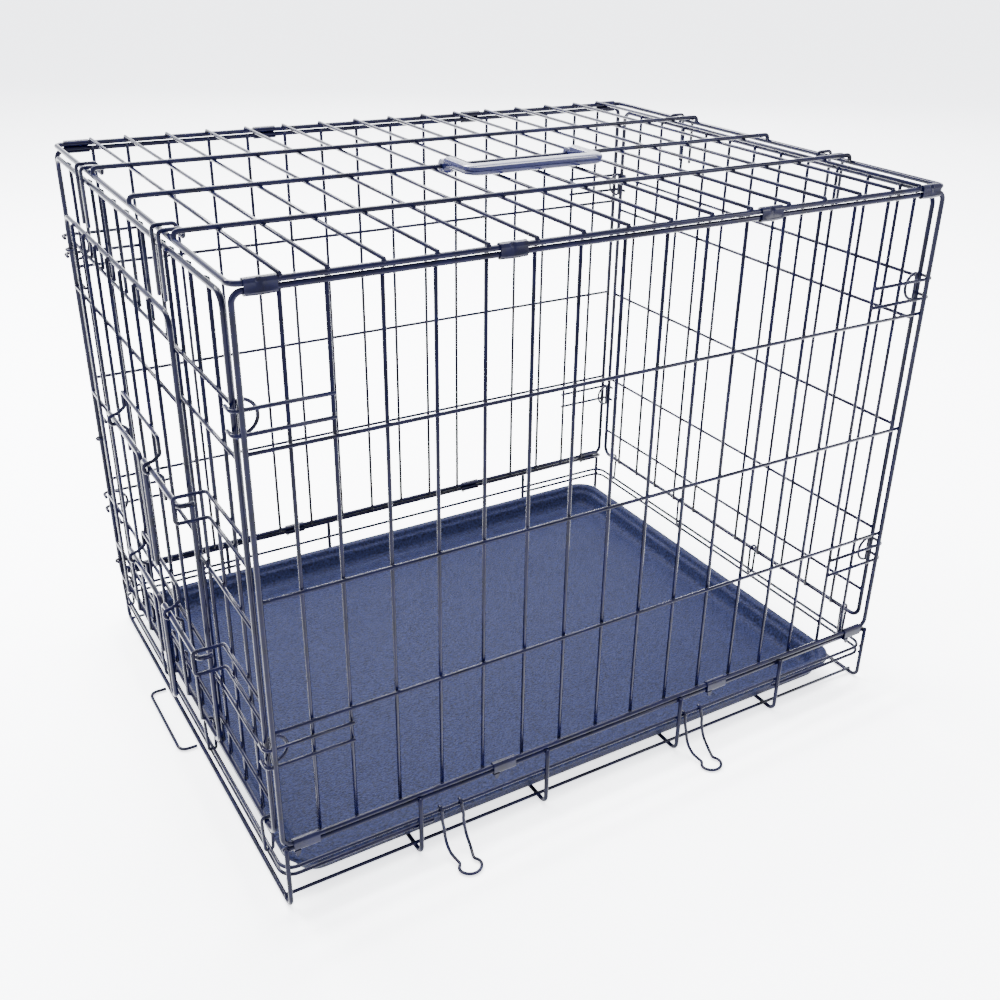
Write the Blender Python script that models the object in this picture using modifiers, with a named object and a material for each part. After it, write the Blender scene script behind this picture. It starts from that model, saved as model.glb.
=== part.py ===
"""Folding wire dog crate, 24-inch class: welded wire panels on a wire base with a slide-out tray.

Metres, +Z up.  X runs along the crate with the door at the -X end, Y across it, and the crate
stands on Z = 0.  Every part is one closed solid, and every moving part has its origin on the
axis that it turns about or slides along.
"""
import math

import bmesh
import bpy
from mathutils import Matrix, Vector

# ---- driving dimensions ----------------------------------------------------------------------
LENGTH = 0.620          # over the end panels
WIDTH = 0.470           # between the hinge lines of the two long sides
TOP_RAIL_Z = 0.5006     # centre of the top panel's frame wire
PITCH = 0.0378          # spacing of the upright wires
GRID_R = 0.0015         # thin welded wires
FRAME_R = 0.0021        # frame wires round each panel
DOOR_R = 0.0020         # frame wire of the door
BOLT_R = 0.0021         # slide bolts
RUNNER_R = 0.0020       # stout wires along the roof
POST_R = 0.0019         # U wires of the base
RING_R = 0.0013         # links and half rings
FOLD_CLIP_R = 0.0014
GAP = 0.0004            # free space between neighbouring parts
BEND_R = 0.010          # corner bends of the frame wires
TIGHT_BEND_R = 0.006    # corner bends beside the sheet clips
WIRE_BEND_R = 0.004     # bends of the thin wires
SMALL_BEND_R = 0.003
WELD_FRAME = 0.0031     # centre distance, thin wire welded on a frame wire
WELD_GRID = 0.0026      # centre distance, thin wire welded on a thin wire
WELD_SINK = 0.0005      # how far a runner sinks into the cross wires

# ---- long sides and roof -----------------------------------------------------------------------
SIDE_Y = WIDTH / 2                      # hinge lines and the planes of the side panels
EDGE_X = 0.3075                         # end uprights of the side and top panels
RAIL_STEP = 2 * FRAME_R + GAP           # centre to centre of two rails held by one clip
SIDE_TOP_Z = TOP_RAIL_Z - RAIL_STEP
BASE_TOP_Z = 0.0580
SIDE_BOTTOM_Z = BASE_TOP_Z + RAIL_STEP
SIDE_ROWS = (0.3900, 0.2795, 0.1690)    # long wires of the side panels
SIDE_PITCHES = 6                        # evenly spaced uprights each side of the middle
SIDE_LIMITS = (0.2457, 0.2765)          # the last two uprights stand nearer to the edge
HOOK_ROWS = (0.4205, 0.4035, 0.1550, 0.1390)
TOP_RUNNERS = (-0.1250, -0.0150, 0.0950)
RUNNER_Z = TOP_RAIL_Z + WELD_FRAME + GRID_R + RUNNER_R - WELD_SINK

# ---- end panels --------------------------------------------------------------------------------
END_X = LENGTH / 2 - 0.0005             # planes of the end panels
END_HALF = 0.2240                       # edge uprights of the end panels, in Y
END_BOTTOM_Z = 0.0655
END_TOP_Z = 0.4925
END_COLUMNS = [k * PITCH for k in range(-5, 6)]
HEADER_Z = 0.4200
SILL_Z = 0.0980
JAMB_Y = (-0.0945, 0.1890)              # sides of the doorway
REAR_ROWS = (HEADER_Z, 0.3820, 0.2795, 0.1690, SILL_Z)
STUB_ROWS = (0.3820, 0.2500, 0.1400)    # short wires beside the doorway
HOOK_TIP_X = END_X + FRAME_R + GRID_R + 0.0008
HOOK_TIP_Y = END_HALF - 0.0020
KEEPER_Y = -0.1385
KEEPER_HALF = 0.0105                    # half the opening of a bolt keeper
KEEPER_SPARE = 0.0010                   # free space outside the bolt
D_RING_LOOP_R = 0.0120
D_RING_IN = FRAME_R + RING_R + GAP      # a half ring stands this far inside its upright
D_RING_Z = (("upper", 0.4120), ("lower", 0.1470))

# ---- door and bolts ----------------------------------------------------------------------------
DOOR_X = END_X + FRAME_R + 0.0006 + DOOR_R      # door frame plane, outside the end panel
DOOR_Y = (-0.1130, 0.2000)
DOOR_Z = (0.0780, 0.4470)
DOOR_UPRIGHTS = 7
DOOR_ROWS = (0.3820, 0.2795, 0.1690, 0.1150)
EYE_RING_R = 0.0038
EYE_Z = (("top", 0.4160), ("middle", 0.2300), ("bottom", 0.0930))
BOLT_X = 0.3290
BOLT_Z = (0.3120, 0.1800)
BOLT_TIP_Y = -0.1335
BOLT_TIP_REACH = 0.0120
BOLT_BEND_R = 0.0043
BOLT_END_Y = 0.0620
BOLT_GRIP_Y = (-0.0330, -0.0420)
BOLT_GRIP_DROP = 0.0950
GUIDE_Y = (0.0450, -0.0600)
GUIDE_X = DOOR_X + WELD_FRAME - WELD_GRID + 0.0052
GUIDE_BOW = BOLT_R + GAP + GRID_R + 0.0004
GUIDE_TOP = 0.0240                      # above and below the bolt
GUIDE_FOOT = 0.0300
GUIDE_NECK = 0.0085                     # where the bow round the bolt begins
GUIDE_THROAT = (0.0030, 0.0048)         # inward of the bolt, and above or below it

# ---- base, tray and stop -----------------------------------------------------------------------
BASE_UPRIGHTS = (0.3065, 0.1930, 0.0720)
POST_Y = SIDE_Y + 0.0036                # the U wires stand outside the base's top rails
POST_TOP_Z = BASE_TOP_Z + 0.0030
FLOOR_Z = POST_R
FLOOR_RAIL_Y = 0.2270
FLOOR_RAIL_Z = FLOOR_Z + 0.0028
BELT_Y = POST_Y - 0.0031
BELT_Z = 0.0382                         # the belt round the base
LAP_Z = 0.0312                          # the U wires round its ends
LAP_X = (-0.1800, 0.1890)               # where the two U wires end on the long sides
TRAY_X = (-0.3000, 0.2860)
TRAY_HALF = 0.2290
TRAY_Z = (0.0070, 0.0290)
TRAY_WALL = 0.0022
TRAY_CORNER_R = 0.022
TRAY_RIM_Z = TRAY_Z[1] - TRAY_WALL
TRAY_LEVELS = ((0.0130, TRAY_Z[0]), (0.0100, TRAY_Z[0] + 0.004), (0.0085, TRAY_RIM_Z - 0.005),
               (0.0070, TRAY_RIM_Z - 0.001), (0.0025, TRAY_RIM_Z), (0.0022, TRAY_RIM_Z - 0.004))
STOP_X = (-(0.3065 + POST_R + GAP + GRID_R), -0.3260)
STOP_Y = (-0.0120, 0.0880)

# ---- clips, hooks and rings --------------------------------------------------------------------
CLIP_X = (-0.2894, -0.1140, 0.1140, 0.2894)
CLIP_LENGTH = 0.0216
CLIP_SHEET = 0.0009
CLIP_SEAM = 20                          # degrees from the mid plane to each lip of a clip
ROOF_HOOK_Y = (("front", -0.1030), ("back", 0.1170))
HOOK_HALF = 0.0080                      # half the width of a roof hook
HOOK_REACH = 0.0105
HOOK_Z = (0.4560, 0.4982)               # outer and inner ends of a roof hook
HOOK_X = END_X + FRAME_R + GRID_R + 0.0007
HOOK_OVER_Z = TOP_RAIL_Z + FRAME_R + GAP + GRID_R
RING_Y = (-0.2050, -0.0650, 0.0650, 0.2050)
FOLD_CLIP_X = (-0.1650, 0.0880)
FOLD_CURL_R = GRID_R + FOLD_CLIP_R + GAP
FOLD_CURL_HALF = 0.0092
FOLD_LEG = ((0.0094, -0.2425, 0.0240), (0.0088, -0.2510, 0.0090), (0.0070, -0.2650, 0.0030))
FOLD_FOOT = (-0.2710, 0.0019)           # middle of the round end, in Y and Z
FOLD_FOOT_R = 0.0088

# ---- carrying handle ---------------------------------------------------------------------------
HANDLE_X = (-0.0520, 0.0820)
HANDLE_Y = (-0.0640, -0.0195)           # front of the grip bar, and where the arms' hooks begin
HANDLE_Z = (0.5070, 0.5150)
HANDLE_BAR = 0.0150                     # depth of the grip bar
HANDLE_ARM = 0.0100
HANDLE_BEND_R = (0.0110, 0.0045)        # outer and inner corners
HANDLE_HOOK_R = (0.0062, RUNNER_R + GAP + 0.0002)
HANDLE_HOOK_ARC = (-60, 250)
HANDLE_HOOK_INSET = 0.0002

STEEL = {"base_color": (0.012, 0.013, 0.020, 1.0), "roughness": 0.32, "metallic": 0.85}
BRIGHT_STEEL = {"base_color": (0.020, 0.021, 0.030, 1.0), "roughness": 0.25, "metallic": 0.9}
PLASTIC = {"base_color": (0.055, 0.060, 0.085, 1.0), "roughness": 0.55, "metallic": 0.0}
GRIP_PLASTIC = {"base_color": (0.015, 0.016, 0.022, 1.0), "roughness": 0.45, "metallic": 0.0}


# ---- scene and materials -----------------------------------------------------------------------
def clear_scene():
    for obj in list(bpy.data.objects):
        bpy.data.objects.remove(obj, do_unlink=True)


def make_collection(name):
    collection = bpy.data.collections.new(name)
    bpy.context.scene.collection.children.link(collection)
    return collection


def make_material(name, look):
    material = bpy.data.materials.new(name)
    material.use_nodes = True
    shader = material.node_tree.nodes["Principled BSDF"]
    shader.inputs["Base Color"].default_value = look["base_color"]
    shader.inputs["Roughness"].default_value = look["roughness"]
    shader.inputs["Metallic"].default_value = look["metallic"]
    material.diffuse_color = look["base_color"]
    return material


# ---- wires -------------------------------------------------------------------------------------
def rounded(points, radius, closed=False, steps=3):
    """A polyline whose corners are replaced by arcs of the given radius."""
    count = len(points)
    path = []
    for i, corner in enumerate(points):
        here = Vector(corner)
        if not closed and i in (0, count - 1):
            path.append(here)
            continue
        back = Vector(points[i - 1]) - here
        ahead = Vector(points[(i + 1) % count]) - here
        angle = back.angle(ahead)
        reach = min(radius / math.tan(angle / 2), 0.49 * back.length, 0.49 * ahead.length)
        bend = reach * math.tan(angle / 2)
        middle = here + (back.normalized() + ahead.normalized()).normalized() * bend / math.sin(angle / 2)
        first = here + back.normalized() * reach - middle
        last = here + ahead.normalized() * reach - middle
        sweep = first.angle(last)
        for k in range(steps + 1):
            t = k / steps
            a = math.sin((1 - t) * sweep) / math.sin(sweep)
            b = math.sin(t * sweep) / math.sin(sweep)
            path.append(middle + first * a + last * b)
    return path


def arc(centre, radius, start, end, steps, plane):
    """Points round a centre in the plane of two unit axes, angles in degrees."""
    along, across = Vector(plane[0]), Vector(plane[1])
    path = []
    for k in range(steps + 1):
        t = math.radians(start + (end - start) * k / steps)
        path.append(Vector(centre) + along * radius * math.cos(t) + across * radius * math.sin(t))
    return path


def wire(points, radius, sides=4, closed=False):
    """One round wire along a polyline, as a closed mesh object."""
    curve = bpy.data.curves.new("wire", "CURVE")
    curve.dimensions = "3D"
    curve.twist_mode = "MINIMUM"
    curve.bevel_depth = radius
    curve.bevel_resolution = (sides - 4) // 2
    curve.use_fill_caps = True
    spline = curve.splines.new("POLY")
    spline.points.add(len(points) - 1)
    for point, place in zip(spline.points, points):
        point.co = (*place, 1.0)
    spline.use_cyclic_u = closed
    guide = bpy.data.objects.new("wire", curve)
    bpy.context.scene.collection.objects.link(guide)
    shaped = guide.evaluated_get(bpy.context.evaluated_depsgraph_get())
    mesh = bpy.data.meshes.new_from_object(shaped)
    bpy.data.objects.remove(guide, do_unlink=True)
    bpy.data.curves.remove(curve)
    weld_caps(mesh)
    obj = bpy.data.objects.new("wire", mesh)
    bpy.context.scene.collection.objects.link(obj)
    return obj


def weld_caps(mesh):
    bm = bmesh.new()
    bm.from_mesh(mesh)
    bmesh.ops.remove_doubles(bm, verts=bm.verts, dist=0.00002)
    bmesh.ops.recalc_face_normals(bm, faces=bm.faces)
    bm.to_mesh(mesh)
    bm.free()


def object_from(bm, name):
    """Turns an edit mesh into an object of the scene."""
    mesh = bpy.data.meshes.new(name)
    bm.to_mesh(mesh)
    bm.free()
    obj = bpy.data.objects.new(name, mesh)
    bpy.context.scene.collection.objects.link(obj)
    return obj


def joined(objects):
    """Several objects as one mesh object, which is left in the scene."""
    bm = bmesh.new()
    for obj in objects:
        obj.data.transform(obj.matrix_world)
        bm.from_mesh(obj.data)
        bpy.data.objects.remove(obj, do_unlink=True)
    return object_from(bm, "joined")


def apply_modifiers(obj):
    shaped = obj.evaluated_get(bpy.context.evaluated_depsgraph_get())
    mesh = bpy.data.meshes.new_from_object(shaped)
    obj.modifiers.clear()
    obj.data = mesh


def thicken(obj, thickness, offset):
    """Gives a sheet its thickness and closes it."""
    shell = obj.modifiers.new("shell", "SOLIDIFY")
    shell.thickness = thickness
    shell.offset = offset
    apply_modifiers(obj)
    weld_caps(obj.data)


def combine(target, other):
    boolean = target.modifiers.new("weld", "BOOLEAN")
    boolean.operation = "UNION"
    boolean.solver = "EXACT"
    boolean.object = other
    apply_modifiers(target)
    bpy.data.objects.remove(other, do_unlink=True)


def welded(*layers):
    """Union of layers of wires.  Wires inside one layer stay clear of each other."""
    body = joined(layers[0])
    for layer in layers[1:]:
        combine(body, joined(layer))
    return body


def finish(obj, name, look, pivot=(0.0, 0.0, 0.0)):
    """Names a part, gives it its material and puts its origin on its pivot."""
    obj.name = name
    obj.data.name = name
    obj.data.transform(Matrix.Translation(-Vector(pivot)))
    obj.location = pivot
    bm = bmesh.new()
    bm.from_mesh(obj.data)
    bmesh.ops.remove_doubles(bm, verts=bm.verts, dist=0.00001)
    bmesh.ops.dissolve_degenerate(bm, edges=bm.edges, dist=0.000005)
    bm.to_mesh(obj.data)
    bm.free()
    obj.data.shade_smooth()
    obj.data.set_sharp_from_angle(angle=math.radians(50))
    obj.data.materials.clear()
    obj.data.materials.append(make_material(name, look))
    for collection in list(obj.users_collection):
        collection.objects.unlink(obj)
    CRATE.objects.link(obj)
    return obj


# ---- panels ------------------------------------------------------------------------------------
def columns():
    """Upright wires of the side and top panels, both halves."""
    half = [PITCH * (k + 0.5) for k in range(SIDE_PITCHES)] + list(SIDE_LIMITS)
    return [-x for x in reversed(half)] + half


def side_panel(name, side):
    """Long side: a frame, sixteen uprights inside it, three long wires, and the corner hooks."""
    y = side * SIDE_Y
    inner = y - side * WELD_FRAME
    row_y = inner + side * WELD_GRID
    corners = [(-EDGE_X, y, SIDE_BOTTOM_Z), (EDGE_X, y, SIDE_BOTTOM_Z),
               (EDGE_X, y, SIDE_TOP_Z), (-EDGE_X, y, SIDE_TOP_Z)]
    frame = [wire(rounded(corners, TIGHT_BEND_R, True), FRAME_R, 6, True)]
    uprights = [wire([(x, inner, SIDE_BOTTOM_Z), (x, inner, SIDE_TOP_Z)], GRID_R) for x in columns()]
    rows = [wire([(-EDGE_X, row_y, z), (EDGE_X, row_y, z)], GRID_R) for z in SIDE_ROWS]
    for z in HOOK_ROWS:
        for end in (-1, 1):
            tip_x = end * HOOK_TIP_X
            path = [(end * SIDE_LIMITS[0], row_y, z), (tip_x, row_y, z), (tip_x, side * HOOK_TIP_Y, z)]
            rows.append(wire(rounded(path, WIRE_BEND_R, steps=2), GRID_R))
    return finish(welded(frame, uprights, rows), name, STEEL)


def top_panel():
    """Roof: a frame, sixteen cross wires on it and three stout runners on those."""
    z = TOP_RAIL_Z
    cross_z = z + WELD_FRAME
    corners = [(-EDGE_X, -SIDE_Y, z), (EDGE_X, -SIDE_Y, z), (EDGE_X, SIDE_Y, z), (-EDGE_X, SIDE_Y, z)]
    frame = [wire(rounded(corners, TIGHT_BEND_R, True), FRAME_R, 6, True)]
    cross = [wire([(x, -SIDE_Y, cross_z), (x, SIDE_Y, cross_z)], GRID_R) for x in columns()]
    runners = []
    for y in TOP_RUNNERS:
        path = [(-EDGE_X, y, z), (-EDGE_X, y, RUNNER_Z), (EDGE_X, y, RUNNER_Z), (EDGE_X, y, z)]
        runners.append(wire(rounded(path, WIRE_BEND_R, steps=2), RUNNER_R, 6))
    return finish(welded(frame, cross, runners), "top_panel", STEEL)


def end_frame(end):
    x = end * END_X
    corners = [(x, -END_HALF, END_BOTTOM_Z), (x, END_HALF, END_BOTTOM_Z),
               (x, END_HALF, END_TOP_Z), (x, -END_HALF, END_TOP_Z)]
    return wire(rounded(corners, BEND_R, True), FRAME_R, 6, True)


def end_row(end, z, low=-END_HALF, high=END_HALF):
    x = end * (END_X - WELD_FRAME + WELD_GRID)
    return wire([(x, low, z), (x, high, z)], GRID_R)


def end_column(end, y, low=END_BOTTOM_Z, high=END_TOP_Z):
    x = end * (END_X - WELD_FRAME)
    return wire([(x, y, low), (x, y, high)], GRID_R)


def rear_end_panel():
    rows = [end_row(1, z) for z in REAR_ROWS]
    uprights = [end_column(1, y) for y in END_COLUMNS]
    panel = welded([end_frame(1)], uprights, rows)
    return finish(panel, "rear_end_panel", STEEL, (END_X, 0.0, END_BOTTOM_Z))


def keeper(z):
    """Wire staple standing out of the end panel, which a slide bolt passes through."""
    root_x = -(END_X - WELD_FRAME + WELD_GRID)
    out_x = -(BOLT_X + BOLT_R + GRID_R + KEEPER_SPARE)
    above, below = z + KEEPER_HALF, z - KEEPER_HALF
    path = [(root_x, -END_HALF, above), (root_x, KEEPER_Y, above), (out_x, KEEPER_Y, above),
            (out_x, KEEPER_Y, below), (root_x, KEEPER_Y, below), (root_x, -END_HALF, below)]
    return wire(rounded(path, SMALL_BEND_R, steps=2), GRID_R)


def door_end_panel():
    """End panel with the doorway, the short wires round it and the two bolt keepers."""
    rows = [end_row(-1, HEADER_Z), end_row(-1, SILL_Z)]
    for z in STUB_ROWS:
        rows.append(end_row(-1, z, -END_HALF, JAMB_Y[0]))
        rows.append(end_row(-1, z, JAMB_Y[1], END_HALF))
    uprights = []
    for y in END_COLUMNS:
        if JAMB_Y[0] + GRID_R < y < JAMB_Y[1] - GRID_R:
            uprights.append(end_column(-1, y, END_BOTTOM_Z, SILL_Z))
            uprights.append(end_column(-1, y, HEADER_Z, END_TOP_Z))
        else:
            uprights.append(end_column(-1, y))
    uprights.append(end_column(-1, JAMB_Y[0]))
    panel = welded([end_frame(-1)], uprights, rows, [keeper(z) for z in BOLT_Z])
    return finish(panel, "door_end_panel", STEEL, (-END_X, 0.0, END_BOTTOM_Z))


# ---- door and its latches ----------------------------------------------------------------------
def bolt_guide(z):
    """Inverted U of wire whose two legs each bow out round the bolt."""
    throat_x = -BOLT_X + GUIDE_THROAT[0]
    sides = []
    for y in GUIDE_Y:
        leg = [Vector((-GUIDE_X, y, z + GUIDE_TOP)), Vector((-GUIDE_X, y, z + GUIDE_NECK)),
               Vector((throat_x, y, z + GUIDE_THROAT[1]))]
        leg += arc((-BOLT_X, y, z), GUIDE_BOW, 90, 270, 4, ((1, 0, 0), (0, 0, 1)))
        leg += [Vector((throat_x, y, z - GUIDE_THROAT[1])), Vector((-GUIDE_X, y, z - GUIDE_NECK)),
                Vector((-GUIDE_X, y, z - GUIDE_FOOT))]
        sides.append(leg)
    return wire(list(reversed(sides[0])) + sides[1], GRID_R)


def door():
    """Door: a frame, uprights outside it, long wires, and the two bolt guides."""
    x = -DOOR_X
    out_x = x - WELD_FRAME
    row_x = out_x + WELD_GRID
    near, far = DOOR_Y
    low, high = DOOR_Z
    corners = [(x, near, low), (x, far, low), (x, far, high), (x, near, high)]
    frame = [wire(rounded(corners, BEND_R, True), DOOR_R, 6, True)]
    step = (far - near) / (DOOR_UPRIGHTS + 1)
    places = [near + step * (k + 1) for k in range(DOOR_UPRIGHTS)]
    uprights = [wire([(out_x, y, low), (out_x, y, high)], GRID_R) for y in places]
    rows = [wire([(row_x, near, z), (row_x, far, z)], GRID_R) for z in DOOR_ROWS]
    guides = [bolt_guide(z) for z in BOLT_Z]
    panel = welded(frame, uprights, rows, guides)
    return finish(panel, "door", STEEL, (x, far, (low + high) / 2))


def bolt(name, z):
    """Slide bolt bent from one wire: shaft, hanging hairpin grip and an inward tip."""
    x = -BOLT_X
    left, right = BOLT_GRIP_Y
    drop = z - BOLT_GRIP_DROP
    path = [(x, BOLT_END_Y, z), (x, left, z), (x, left, drop), (x, right, drop), (x, right, z),
            (x, BOLT_TIP_Y, z), (x + BOLT_TIP_REACH, BOLT_TIP_Y, z)]
    return finish(wire(rounded(path, BOLT_BEND_R), BOLT_R, 6), name, BRIGHT_STEEL, (x, 0.0, z))


def hinge_eye(name, z):
    """Wire ring on the end panel that the door's back upright turns in."""
    bpy.ops.mesh.primitive_torus_add(major_segments=12, minor_segments=6, major_radius=EYE_RING_R,
                                     minor_radius=RING_R, location=(-DOOR_X, DOOR_Y[1], z))
    eye = joined([bpy.context.object])
    return finish(eye, name, BRIGHT_STEEL)


# ---- base, tray and stop -----------------------------------------------------------------------
def base_frame():
    """Base: U wires across the floor, top rails, a belt round it, lapped end wires and floor wires."""
    posts = [sign * x for x in BASE_UPRIGHTS for sign in (-1, 1)]
    bows = []
    for x in posts:
        path = [(x, -POST_Y, POST_TOP_Z), (x, -POST_Y, FLOOR_Z), (x, POST_Y, FLOOR_Z), (x, POST_Y, POST_TOP_Z)]
        bows.append(wire(rounded(path, TIGHT_BEND_R), POST_R, 6))
    rails = [wire([(-EDGE_X, y, BASE_TOP_Z), (EDGE_X, y, BASE_TOP_Z)], FRAME_R, 6) for y in (-SIDE_Y, SIDE_Y)]
    reach = BASE_UPRIGHTS[0]
    floor = [wire([(-reach, y, FLOOR_RAIL_Z), (reach, y, FLOOR_RAIL_Z)], GRID_R)
             for y in (-FLOOR_RAIL_Y, FLOOR_RAIL_Y)]
    corners = [(-END_X, -BELT_Y, BELT_Z), (END_X, -BELT_Y, BELT_Z), (END_X, BELT_Y, BELT_Z),
               (-END_X, BELT_Y, BELT_Z)]
    belts = [wire(rounded(corners, BEND_R, True), GRID_R, 4, True)]
    for end_x, lap_x in zip((-END_X, END_X), LAP_X):
        corners = [(lap_x, -BELT_Y, LAP_Z), (end_x, -BELT_Y, LAP_Z), (end_x, BELT_Y, LAP_Z),
                   (lap_x, BELT_Y, LAP_Z)]
        belts.append(wire(rounded(corners, BEND_R), GRID_R))
    return finish(welded(bows, rails + floor, belts), "base_frame", STEEL)


def tray():
    """Plastic pan: a box with a rolled rim, shelled from its outside."""
    middle = (TRAY_X[0] + TRAY_X[1]) / 2
    half = (TRAY_X[1] - TRAY_X[0]) / 2
    bm = bmesh.new()
    rings = []
    for inset, z in TRAY_LEVELS:
        a, b = half - inset, TRAY_HALF - inset
        corners = [(-a, -b, z), (a, -b, z), (a, b, z), (-a, b, z)]
        outline = rounded(corners, TRAY_CORNER_R - inset, True, 4)
        rings.append([bm.verts.new((p.x + middle, p.y, p.z)) for p in outline])
    bm.faces.new(list(reversed(rings[0])))
    for lower, upper in zip(rings, rings[1:]):
        for i in range(len(lower)):
            j = (i + 1) % len(lower)
            bm.faces.new((lower[i], lower[j], upper[j], upper[i]))
    obj = object_from(bm, "tray")
    thicken(obj, TRAY_WALL, -1.0)
    return finish(obj, "tray", PLASTIC, (TRAY_X[0], 0.0, TRAY_Z[0]))


def tray_stop():
    """Wire loop hinged at floor level at the door end, lying outward."""
    root, out = STOP_X
    near, far = STOP_Y
    path = [(root, far, FLOOR_Z), (out, far, FLOOR_Z), (out, near, FLOOR_Z), (root, near, FLOOR_Z)]
    pivot = (-BASE_UPRIGHTS[0], (near + far) / 2, FLOOR_Z)
    return finish(wire(rounded(path, TIGHT_BEND_R), GRID_R, 6), "tray_stop", BRIGHT_STEEL, pivot)


# ---- clips, hooks and rings --------------------------------------------------------------------
def sheet_clip(name, x, side, low_z, high_z):
    """Folded sheet-metal sleeve round two rails, open along a seam on the inside."""
    y = side * SIDE_Y
    radius = FRAME_R + GAP
    plane = ((0, 1, 0), (0, 0, 1))
    top = arc((0, 0, high_z), radius, CLIP_SEAM, 180, 5, plane)
    bottom = arc((0, 0, low_z), radius, 180, 360 - CLIP_SEAM, 5, plane)
    outline = [Vector((0, y - side * p.y, p.z)) for p in top + bottom]
    bm = bmesh.new()
    rows = []
    for end in (-0.5, 0.5):
        rows.append([bm.verts.new((x + end * CLIP_LENGTH, p.y, p.z)) for p in outline])
    for i in range(len(outline) - 1):
        bm.faces.new((rows[0][i], rows[0][i + 1], rows[1][i + 1], rows[1][i]))
    obj = object_from(bm, name)
    thicken(obj, CLIP_SHEET, -side)
    return finish(obj, name, BRIGHT_STEEL)


def end_hook(name, end, y):
    """Hairpin that hangs outside the end panel, passes over the roof's end rail and turns down."""
    out_x = end * HOOK_X
    in_x = end * (EDGE_X - HOOK_REACH)
    legs = []
    for leg_y in (y - HOOK_HALF, y + HOOK_HALF):
        legs.append([(out_x, leg_y, HOOK_Z[0]), (out_x, leg_y, HOOK_OVER_Z), (in_x, leg_y, HOOK_OVER_Z),
                     (in_x, leg_y, HOOK_Z[1])])
    path = legs[0] + list(reversed(legs[1]))
    return finish(wire(rounded(path, SMALL_BEND_R), GRID_R, 6), name, BRIGHT_STEEL)


def panel_ring(name, end, y):
    """Long ring that ties the end panel's bottom rail to the upper belt of the base."""
    plane = ((1, 0, 0), (0, 0, 1))
    loop = arc((end * END_X, y, END_BOTTOM_Z), FRAME_R + RING_R + 0.0006, 0, 180, 5, plane)
    loop += arc((end * END_X, y, BELT_Z), GRID_R + RING_R + 0.0005, 180, 360, 5, plane)
    return finish(wire(loop, RING_R, 4, True), name, BRIGHT_STEEL)


def d_ring(name, end, side, z, pivot):
    """Half ring on the inner face of an end panel's edge upright."""
    centre = (end * (END_X - D_RING_IN), side * END_HALF, z)
    loop = arc(centre, D_RING_LOOP_R, -90, 90, 6, ((-end, 0, 0), (0, 0, 1)))
    return finish(wire(loop, RING_R, 4, True), name, BRIGHT_STEEL, pivot)


def fold_clip(name, x):
    """Necked hairpin that hooks over the belt, with its round end out on the floor."""
    centre = (0, -BELT_Y, BELT_Z)
    curl = arc(centre, FOLD_CURL_R, 60, 190, 4, ((0, 1, 0), (0, 0, 1)))
    legs = []
    for sign in (-1, 1):
        leg = [Vector((x + sign * FOLD_CURL_HALF, p.y, p.z)) for p in curl]
        legs.append(leg + [Vector((x + sign * out, y, z)) for out, y, z in FOLD_LEG])
    loop = arc((x, *FOLD_FOOT), FOLD_FOOT_R, 0, 180, 5, ((-1, 0, 0), (0, -1, 0)))
    path = legs[0] + loop + list(reversed(legs[1]))
    return finish(wire(path, FOLD_CLIP_R), name, BRIGHT_STEEL, (x, centre[1], centre[2]))


# ---- carrying handle ---------------------------------------------------------------------------
def prism(levels, name):
    """Closed solid through a list of outlines with the same number of points."""
    bm = bmesh.new()
    rings = [[bm.verts.new(point) for point in outline] for outline in levels]
    for lower, upper in zip(rings, rings[1:]):
        for i in range(len(lower)):
            j = (i + 1) % len(lower)
            bm.faces.new((lower[i], lower[j], upper[j], upper[i]))
    bm.faces.new(list(reversed(rings[0])))
    bm.faces.new(rings[-1])
    bmesh.ops.recalc_face_normals(bm, faces=bm.faces)
    return object_from(bm, name)


def handle():
    """Moulded bail of the carrying handle: it turns on the middle roof runner."""
    left, right = HANDLE_X
    front, back = HANDLE_Y
    outer = [(left, back, 0), (left, front, 0), (right, front, 0), (right, back, 0)]
    inner = [(right - HANDLE_ARM, back, 0), (right - HANDLE_ARM, front + HANDLE_BAR, 0),
             (left + HANDLE_ARM, front + HANDLE_BAR, 0), (left + HANDLE_ARM, back, 0)]
    outline = rounded(outer, HANDLE_BEND_R[0], steps=5) + rounded(inner, HANDLE_BEND_R[1])
    bail = prism([[(p.x, p.y, z) for p in outline] for z in HANDLE_Z], "handle_bail")
    middle = (0, TOP_RUNNERS[1], RUNNER_Z)
    plane = ((0, 1, 0), (0, 0, 1))
    start, end = HANDLE_HOOK_ARC
    profile = arc(middle, HANDLE_HOOK_R[0], start, end, 14, plane)
    profile += arc(middle, HANDLE_HOOK_R[1], end, start, 14, plane)
    hooks = []
    for low in (left, right - HANDLE_ARM):
        faces = (low + HANDLE_HOOK_INSET, low + HANDLE_ARM - HANDLE_HOOK_INSET)
        hooks.append(prism([[(x, p.y, p.z) for p in profile] for x in faces], "hook"))
    combine(bail, joined(hooks))
    return finish(bail, "handle_bail", GRIP_PLASTIC, ((left + right) / 2, TOP_RUNNERS[1], RUNNER_Z))


def centre_on_floor():
    """Moves the whole crate so that its box is centred on the Z axis and stands on Z = 0."""
    bpy.context.view_layer.update()
    corners = [obj.matrix_world @ vertex.co for obj in CRATE.objects for vertex in obj.data.vertices]
    low = [min(corner[i] for corner in corners) for i in range(3)]
    high = [max(corner[i] for corner in corners) for i in range(3)]
    shift = Vector((-(low[0] + high[0]) / 2, -(low[1] + high[1]) / 2, -low[2]))
    for obj in CRATE.objects:
        obj.location += shift


# ---- build -------------------------------------------------------------------------------------
clear_scene()
CRATE = make_collection("wire_dog_crate")

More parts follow.
